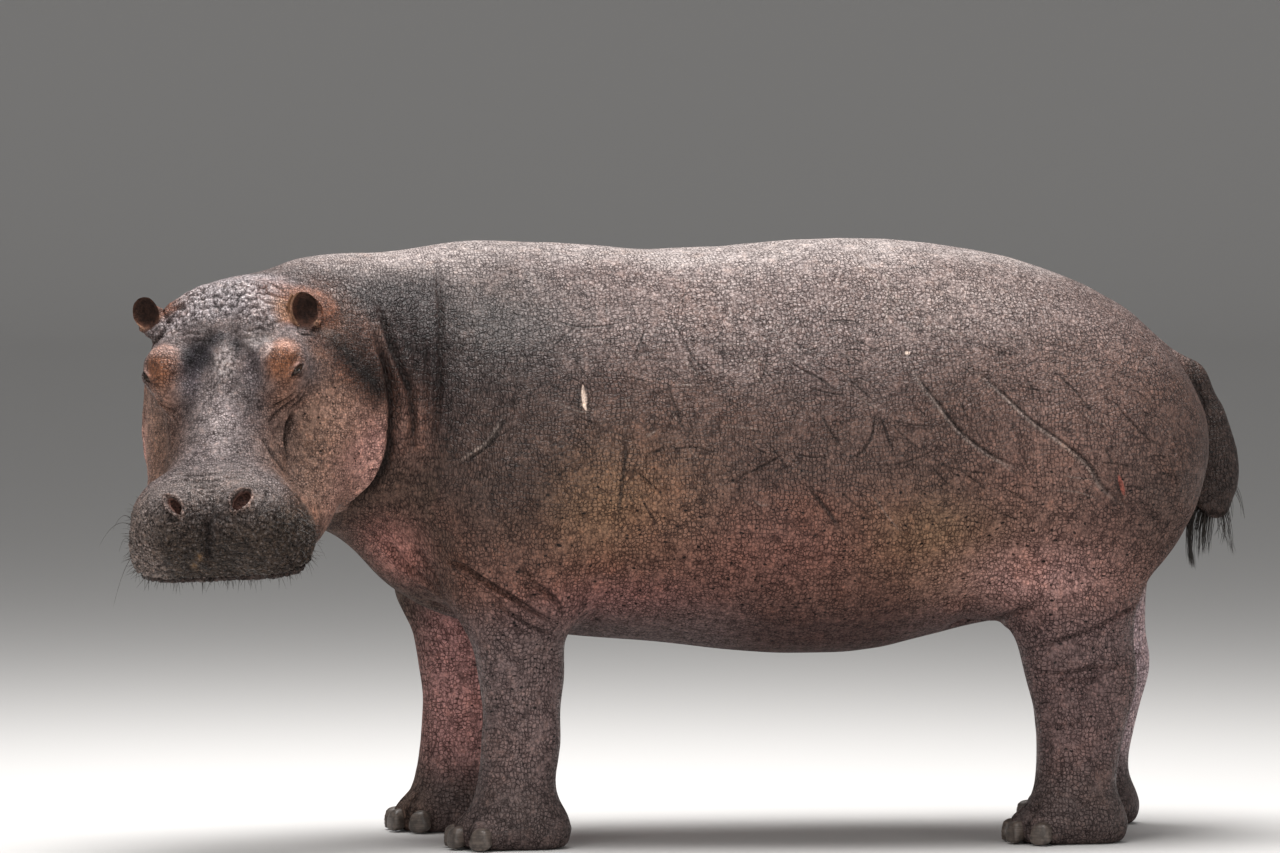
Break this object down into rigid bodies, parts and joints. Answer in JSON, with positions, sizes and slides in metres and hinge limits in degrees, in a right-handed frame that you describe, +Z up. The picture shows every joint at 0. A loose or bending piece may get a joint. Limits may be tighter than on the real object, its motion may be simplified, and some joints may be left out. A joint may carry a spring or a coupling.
{
  "type": "hippopotamus",
  "caption": "Life-size common hippopotamus standing square, head lowered and turned to its left, mouth closed.",
  "frame": {"origin": "on the ground, under the middle of the bounding box", "axes": "+Z up, the body faces -Y so +Y points to the tail, +X is the animal's left side"},
  "size_m": [1.3032, 2.8602, 1.5027],
  "materials": {
    "skin": "satin",
    "jaw_skin": "satin",
    "leg_skin": "satin",
    "eyes": "polished",
    "nails": "satin",
    "tail_hair": "matte"
  },
  "bodies": {
    "root": {"ear_left": "skin", "ear_right": "skin", "eye_left": "eyes", "eye_right": "eyes", "forefoot_left": "leg_skin", "forefoot_left_nail_1": "nails", "forefoot_left_nail_2": "nails", "forefoot_left_nail_3": "nails", "forefoot_left_nail_4": "nails", "forefoot_right": "leg_skin", "forefoot_right_nail_1": "nails", "forefoot_right_nail_2": "nails", "forefoot_right_nail_3": "nails", "forefoot_right_nail_4": "nails", "foreleg_left_lower": "leg_skin", "foreleg_left_upper": "leg_skin", "foreleg_right_lower": "leg_skin", "foreleg_right_upper": "leg_skin", "head": "skin", "hindfoot_left": "leg_skin", "hindfoot_left_nail_1": "nails", "hindfoot_left_nail_2": "nails", "hindfoot_left_nail_3": "nails", "hindfoot_left_nail_4": "nails", "hindfoot_right": "leg_skin", "hindfoot_right_nail_1": "nails", "hindfoot_right_nail_2": "nails", "hindfoot_right_nail_3": "nails", "hindfoot_right_nail_4": "nails", "hindleg_left_lower": "leg_skin", "hindleg_left_upper": "leg_skin", "hindleg_right_lower": "leg_skin", "hindleg_right_upper": "leg_skin", "lower_jaw": "jaw_skin", "neck": "skin", "tail": "skin", "tail_tuft": "tail_hair", "trunk": "skin"}
  },
  "joints": []
}
